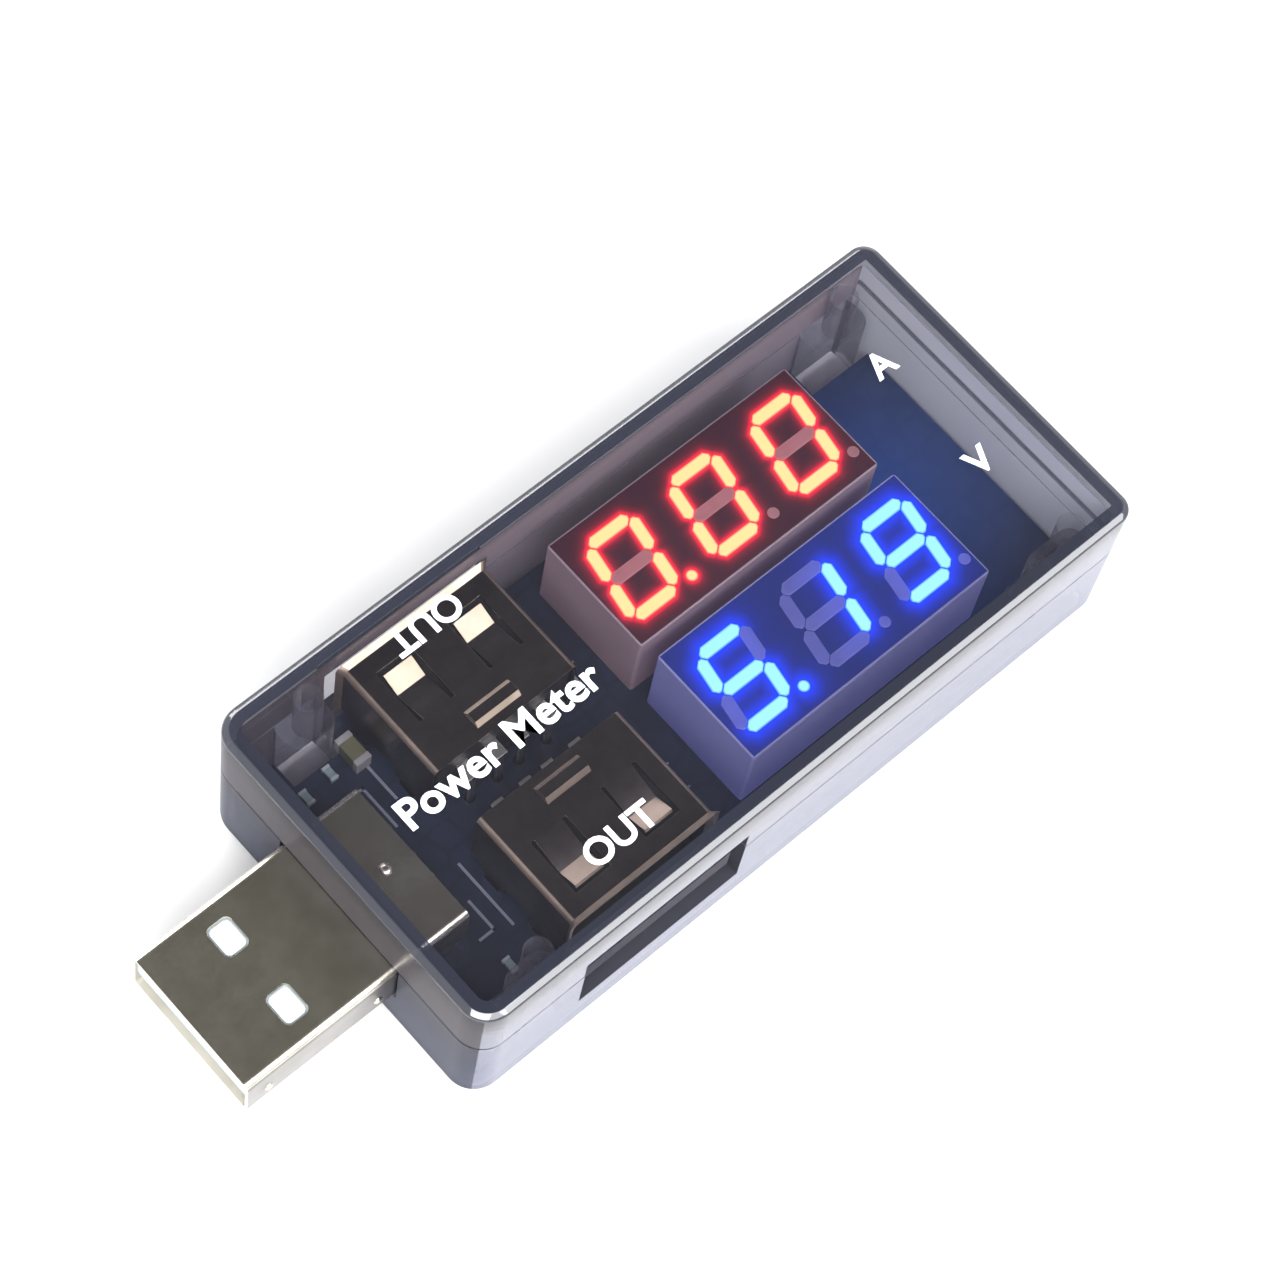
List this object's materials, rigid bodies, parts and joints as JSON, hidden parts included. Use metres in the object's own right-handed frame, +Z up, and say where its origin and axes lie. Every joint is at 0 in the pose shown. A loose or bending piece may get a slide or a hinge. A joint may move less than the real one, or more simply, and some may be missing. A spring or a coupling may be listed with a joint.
{
  "type": "usb power meter",
  "caption": "Pass-through USB power meter: plug at one end, a socket in each long side, red and blue digit displays under a smoky clear case.",
  "frame": {"origin": "under the middle of the whole length, on the flat underside of the case", "axes": "+X from the plug towards the far end, +Y towards the side of the red display, +Z up out of the display face"},
  "size_m": [0.0732, 0.028, 0.015],
  "materials": {
    "smoky_plastic": "smoky clear, polished",
    "solder_mask": "satin solder mask",
    "shell_steel": "satin nickel-plated",
    "contact_gold": "gold-plated",
    "pin_tin": "tinned",
    "white_plastic": "moulded",
    "black_plastic": "moulded",
    "display_plastic": "moulded, dark face",
    "red_resin": "cast, diffusing",
    "blue_resin": "cast, diffusing",
    "base_laminate": "laminate",
    "capacitor_ceramic": "fired ceramic",
    "resistor_body": "coated ceramic"
  },
  "bodies": {
    "meter": {"top_cover": "smoky_plastic", "bottom_shell": "smoky_plastic", "circuit_board": "solder_mask", "plug_shell": "shell_steel", "plug_insulator": "white_plastic", "plug_contact_1": "contact_gold", "plug_contact_2": "contact_gold", "plug_contact_3": "contact_gold", "plug_contact_4": "contact_gold", "far_socket_shell": "shell_steel", "far_socket_tongue": "black_plastic", "far_contact_tail_1": "pin_tin", "far_contact_tail_2": "pin_tin", "far_contact_tail_3": "pin_tin", "far_contact_tail_4": "pin_tin", "near_socket_shell": "shell_steel", "near_socket_tongue": "black_plastic", "near_contact_tail_1": "pin_tin", "near_contact_tail_2": "pin_tin", "near_contact_tail_3": "pin_tin", "near_contact_tail_4": "pin_tin", "current_display_case": "display_plastic", "current_display_resin": "red_resin", "current_display_base": "base_laminate", "voltage_display_case": "display_plastic", "voltage_display_resin": "blue_resin", "voltage_display_base": "base_laminate", "microcontroller": "black_plastic", "current_amplifier": "black_plastic", "voltage_regulator": "black_plastic", "current_shunt": "resistor_body", "input_capacitor": "capacitor_ceramic", "output_capacitor": "capacitor_ceramic", "supply_capacitor": "capacitor_ceramic", "filter_capacitor": "capacitor_ceramic", "top_chip_1": "resistor_body", "top_chip_2": "resistor_body", "top_chip_3": "resistor_body", "top_chip_4": "resistor_body", "top_chip_5": "resistor_body", "segment_resistor_1": "resistor_body", "segment_resistor_2": "resistor_body", "segment_resistor_3": "resistor_body", "segment_resistor_4": "resistor_body", "segment_resistor_5": "resistor_body", "segment_resistor_6": "resistor_body"},
    "far_contacts": {"far_contact_beam_1": "contact_gold", "far_contact_beam_2": "contact_gold", "far_contact_beam_3": "contact_gold", "far_contact_beam_4": "contact_gold"},
    "near_contacts": {"near_contact_beam_1": "contact_gold", "near_contact_beam_2": "contact_gold", "near_contact_beam_3": "contact_gold", "near_contact_beam_4": "contact_gold"}
  },
  "joints": [
    {"name": "far_contact_flex", "type": "hinge", "parent": "meter", "child": "far_contacts", "pos_m": [-0.00705, 0.00515, 0.00855], "axis": [1, 0, 0], "range_deg": [0, 5], "stiffness_Nm_per_rad": 0.25},
    {"name": "near_contact_flex", "type": "hinge", "parent": "meter", "child": "near_contacts", "pos_m": [-0.00705, -0.00385, 0.00855], "axis": [-1, 0, 0], "range_deg": [0, 5], "stiffness_Nm_per_rad": 0.25}
  ]
}
